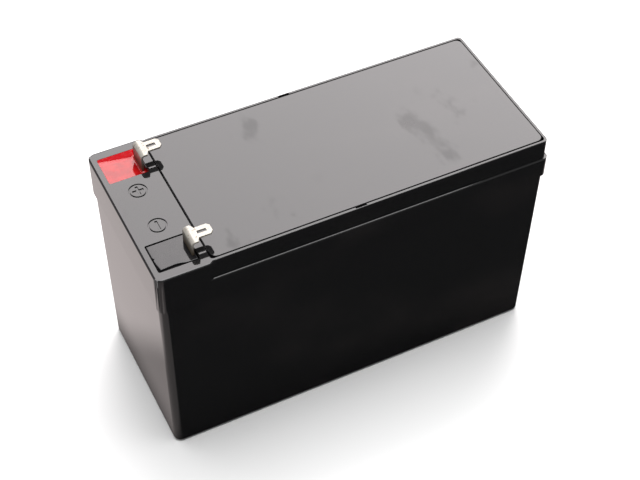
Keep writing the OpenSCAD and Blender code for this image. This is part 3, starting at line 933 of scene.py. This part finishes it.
@dataclass
class BlackPlate(Pocket):
    """The black resin round the negative tab. It has shrunk from the walls and left a groove."""

    side: int = -1
    level: float = 93.85
    groove_z: float = 92.85
    lip: float = 0.32
    least: float = 0.26
    corner_turn: float = 3.75
    nick_turn: float = 3.14
    steps: int = 26

    def groove(self) -> Points:
        """Width of the groove at each ray.

        It is the least width plus three swells: a bell curve at the case's corner, a narrow one for the
        nick at the end wall, and the square of the sine towards the long side. A small wave is added.

        Returns:
            The width for each ray.
        """
        a = self.angles()
        near = np.clip(-np.sin(a), 0, 1) ** 2
        wave = 0.04 * np.sin(5 * a + 1.0)
        nick = 0.5 * np.exp(-(((a - self.nick_turn) / 0.03) ** 2))
        corner = 0.95 * np.exp(-(((a - self.corner_turn) / 0.35) ** 2))
        return self.least + corner + 0.2 * near + wave + nick

    def surface(self) -> list[Points]:
        """Rings from the wall, down across the groove, over the plate's rounded lip and in to the leg.

        Returns:
            The rings, in order.
        """
        width = self.groove()
        rings = [self.ring(self.outline, self.groove_z), self.ring(self.outline, self.groove_z, width)]
        for t in np.linspace(0, math.pi / 2, 7):
            rings.append(self.ring(self.outline, self.level - self.lip * (1 - math.sin(t)),
                                   width + self.lip * (1 - math.cos(t))))
        edge = self.outline.cast(self.centre, self.angles(), width + self.lip)
        leg = self.leg.cast(self.centre, self.angles())
        for s in np.linspace(0, 1, self.steps)[1:] ** 0.8:
            flat = edge * (1 - s) + leg * s
            z = self.level - 0.05 * np.exp(-self.leg.gap(flat) / 1.5)
            rings.append(np.column_stack([flat, z]))
        return rings

    def build(self) -> None:
        """Makes the plate as one closed grid."""
        rings = self.surface() + self.underside()
        faces = grid_faces(len(rings), self.around, True)
        piece("negative_resin", np.concatenate(rings), faces, BLACK, Body.CASE, ["negative_seal"])


@dataclass
class Tab:
    """A pressed push-on tab, bent from one strip: foot, leg, shoulder and slotted blade, in millimetres."""

    node: str
    rounding: float = 0.13

    def build(self) -> None:
        """Rounds the pressing's edges."""
        BevelledCopy(self.node, TIN, Body.CASE, self.rounding).build()


def dress_nodes(names: Iterable[str], finish: Finish) -> None:
    """Gives CAD nodes that stay as they are their finish.

    Args:
        names: The nodes.
        finish: Their finish.
    """
    for name in names:
        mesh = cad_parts[name].data
        mesh.materials.clear()
        mesh.materials.append(finish.material())
        LOG.info("%s: finish %s", name, finish.name)


@dataclass
class Terminals:
    """Tabs, posts, resin and seal rings of both poles."""

    def build(self) -> None:
        """Builds both poles."""
        RedPool().build()
        BlackPlate().build()
        for pole in ("positive", "negative"):
            Tab(f"{pole}_tab").build()
        dress_nodes(["positive_post", "negative_post"], LEAD)
        dress_nodes(["positive_seal_ring", "negative_seal_ring"], RUBBER)


@dataclass
class Cells:
    """The six cells under the lid: plates, mats, straps, links and valve caps."""

    def build(self) -> None:
        """Dresses every inner CAD node."""
        dress_nodes([f"positive_plates_{i}" for i in CELLS], POSITIVE_PASTE)
        dress_nodes([f"negative_plates_{i}" for i in CELLS], NEGATIVE_PASTE)
        dress_nodes([f"separators_{i}" for i in CELLS], MAT)
        dress_nodes([f"cell_link_{i}" for i in LINKS], LEAD)
        dress_nodes(["positive_end_strap", "negative_end_strap"], LEAD)
        dress_nodes([f"valve_cap_{i}" for i in CELLS], RUBBER)


# Studio ----------------------------------------------------------------------------


@dataclass(frozen=True)
class Panel:
    """A soft light panel: where it is, what it faces, its sides in metres and its radiance."""

    name: str
    place: tuple[float, float, float]
    target: tuple[float, float, float]
    size: tuple[float, float]
    radiance: float
    ends: tuple[float, float] = (1.0, 1.0)
    tint: tuple[float, float, float] = (1.0, 1.0, 1.0)

    def shade(self, data: bpy.types.AreaLight) -> None:
        """Lets the panel's brightness go from one end's share to the other's.

        Args:
            data: The area light.
        """
        data.use_nodes = True
        nodes, links = data.node_tree.nodes, data.node_tree.links
        glow = next(n for n in nodes if n.type == "EMISSION")
        where = nodes.new("ShaderNodeNewGeometry")
        split = nodes.new("ShaderNodeSeparateXYZ")
        ramp = nodes.new("ShaderNodeMapRange")
        ramp.inputs["To Min"].default_value, ramp.inputs["To Max"].default_value = self.ends
        links.new(where.outputs["Parametric"], split.inputs[0])
        links.new(split.outputs["X"], ramp.inputs["Value"])
        links.new(ramp.outputs["Result"], glow.inputs["Strength"])

    def light(self) -> None:
        """Adds the area light. Its power is pi times its area times its radiance."""
        data = bpy.data.lights.new(self.name, "AREA")
        data.shape = "RECTANGLE"
        data.size, data.size_y = self.size
        data.energy = math.pi * self.size[0] * self.size[1] * self.radiance
        data.color = self.tint
        self.shade(data)
        lamp = bpy.data.objects.new(self.name, data)
        lamp.location = self.place
        way = np.array(self.place) - np.array(self.target)
        z = way / np.linalg.norm(way)
        x = np.cross((0, 1, 0) if abs(z[1]) < 0.95 else (1, 0, 0), z)
        x /= np.linalg.norm(x)
        lamp.rotation_euler = Matrix(np.column_stack([x, np.cross(z, x), z]).tolist()).to_euler()
        lamp.visible_camera = False
        bpy.context.scene.collection.objects.link(lamp)


@dataclass
class Studio:
    """Pale floor, soft panels, even surroundings and the camera."""

    floor_half: float = 6.0
    surround: float = 0.25
    mirrored_surround: float = 0.4
    panels: tuple[Panel, ...] = (
        Panel("back_panel", place=(0.50, 0.98, 1.31), target=(0.0, 0.0, 0.09), size=(1.1, 1.1), radiance=5.95,
              ends=(0.87, 1.22), tint=(1.0, 0.955, 0.96)),
        Panel("overhead_panel", place=(0.06, 0.10, 1.8), target=(0.06, 0.10, 0.0), size=(1.5, 1.4),
              radiance=6.2),
    )

    def floor(self) -> None:
        """A flat pale floor. Mirrored rays see a painted glow on it, a painted reflection that is bright at
        the left end and dark at the near side, with a painted shadow of the battery along a slanted edge at
        the left.
        """
        h = self.floor_half
        mesh = bpy.data.meshes.new("floor")
        mesh.from_pydata([(-h, -h, 0), (h, -h, 0), (h, h, 0), (-h, h, 0)], [], [(0, 1, 2, 3)])
        graph = Graph("pale_floor")
        graph.set(Base_Color=(0.86, 0.86, 0.86, 1.0), Roughness=0.9, Specular_IOR_Level=0.0)
        nodes, links = graph.tree.nodes, graph.tree.links
        x, y = graph.axis("X"), graph.axis("Y")
        # Painted shadow in the glow: 0.45 on the battery's side of a slanted line, 1.02 beyond it.
        slant = graph.maths("SUBTRACT", y, graph.maths("MULTIPLY", x, 1.1))
        left = graph.span(slant, 0.096, 0.124, 0.45, 1.02)
        left = graph.maths("MULTIPLY", left, graph.span(x, -0.079, -0.070, 1.0, 0.0))
        left = graph.maths("MULTIPLY", left, graph.span(x, -0.26, -0.14, 0.35, 1.0))
        right = graph.maths("MULTIPLY", graph.span(x, 0.075, 0.16, 0.0, 0.9),
                            graph.span(y, -0.04, 0.03, 0.0, 1.0))
        back = graph.span(y, 0.04, 0.14, 0.0, 0.8)
        # The glow is painted light: an emission on the floor that only mirrored rays see.
        glow = nodes.new("ShaderNodeEmission")
        glow.inputs["Color"].default_value = (1.0, 0.90, 0.885, 1.0)
        links.new(graph.maths("MAXIMUM", left, graph.maths("MAXIMUM", right, back)), glow.inputs["Strength"])
        path = nodes.new("ShaderNodeLightPath")
        mix = nodes.new("ShaderNodeMixShader")
        links.new(path.outputs["Is Glossy Ray"], mix.inputs[0])
        links.new(graph.shader.outputs[0], mix.inputs[1])
        links.new(glow.outputs[0], mix.inputs[2])
        links.new(mix.outputs[0], graph.output.inputs["Surface"])
        graph.material.cycles.emission_sampling = "NONE"
        mesh.materials.append(graph.material)
        shown = bpy.data.objects.new("floor", mesh)
        bpy.context.scene.collection.objects.link(shown)

    def surroundings(self) -> None:
        """Even light from all round, dim where it is mirrored."""
        world = bpy.data.worlds.new("studio")
        world.use_nodes = True
        tree = world.node_tree
        tree.nodes.clear()
        path = tree.nodes.new("ShaderNodeLightPath")
        sky = tree.nodes.new("ShaderNodeBackground")
        dim = tree.nodes.new("ShaderNodeBackground")
        white = tree.nodes.new("ShaderNodeBackground")
        for node, level in ((sky, self.surround), (dim, self.mirrored_surround), (white, 1.0)):
            node.inputs["Strength"].default_value = level
            node.inputs["Color"].default_value = (1.0, 1.0, 1.0, 1.0)
        one, two = tree.nodes.new("ShaderNodeMixShader"), tree.nodes.new("ShaderNodeMixShader")
        out = tree.nodes.new("ShaderNodeOutputWorld")
        for a, b in ((path.outputs["Is Glossy Ray"], one.inputs[0]), (sky.outputs[0], one.inputs[1]),
                     (dim.outputs[0], one.inputs[2]), (path.outputs["Is Camera Ray"], two.inputs[0]),
                     (one.outputs[0], two.inputs[1]), (white.outputs[0], two.inputs[2]),
                     (two.outputs[0], out.inputs["Surface"])):
            tree.links.new(a, b)
        bpy.context.scene.world = world

    def camera(self) -> None:
        """The camera looks down at the near left end."""
        data = bpy.data.cameras.new("camera")
        data.lens = 82.03
        data.sensor_width = 36.0
        data.clip_start, data.clip_end = 0.01, 50.0
        shown = bpy.data.objects.new("camera", data)
        right = np.array([0.89618, -0.44360, 0.00924])
        down = np.array([-0.32464, -0.66977, -0.66784])
        forward = np.array([0.30244, 0.59550, -0.74425])
        turn = np.eye(4)
        turn[:3, :3] = np.column_stack([right, -down, -forward])
        turn[:3, 3] = np.array([-165.764, -326.567, 453.971]) * MM
        shown.matrix_world = Matrix(turn.tolist())
        bpy.context.scene.collection.objects.link(shown)
        bpy.context.scene.camera = shown

    def build(self) -> None:
        """Sets the stage and the plain colour transform."""
        self.floor()
        self.surroundings()
        self.camera()
        for panel in self.panels:
            panel.light()
        bpy.context.scene.view_settings.view_transform = "Standard"


def main() -> None:
    """Builds the battery's sub-assemblies in order, then the studio."""
    logging.basicConfig(level=logging.INFO, format="%(name)s %(message)s")
    for part in (Case(), Terminals(), Cells(), Studio()):
        part.build()


if __name__ == "__main__":
    main()
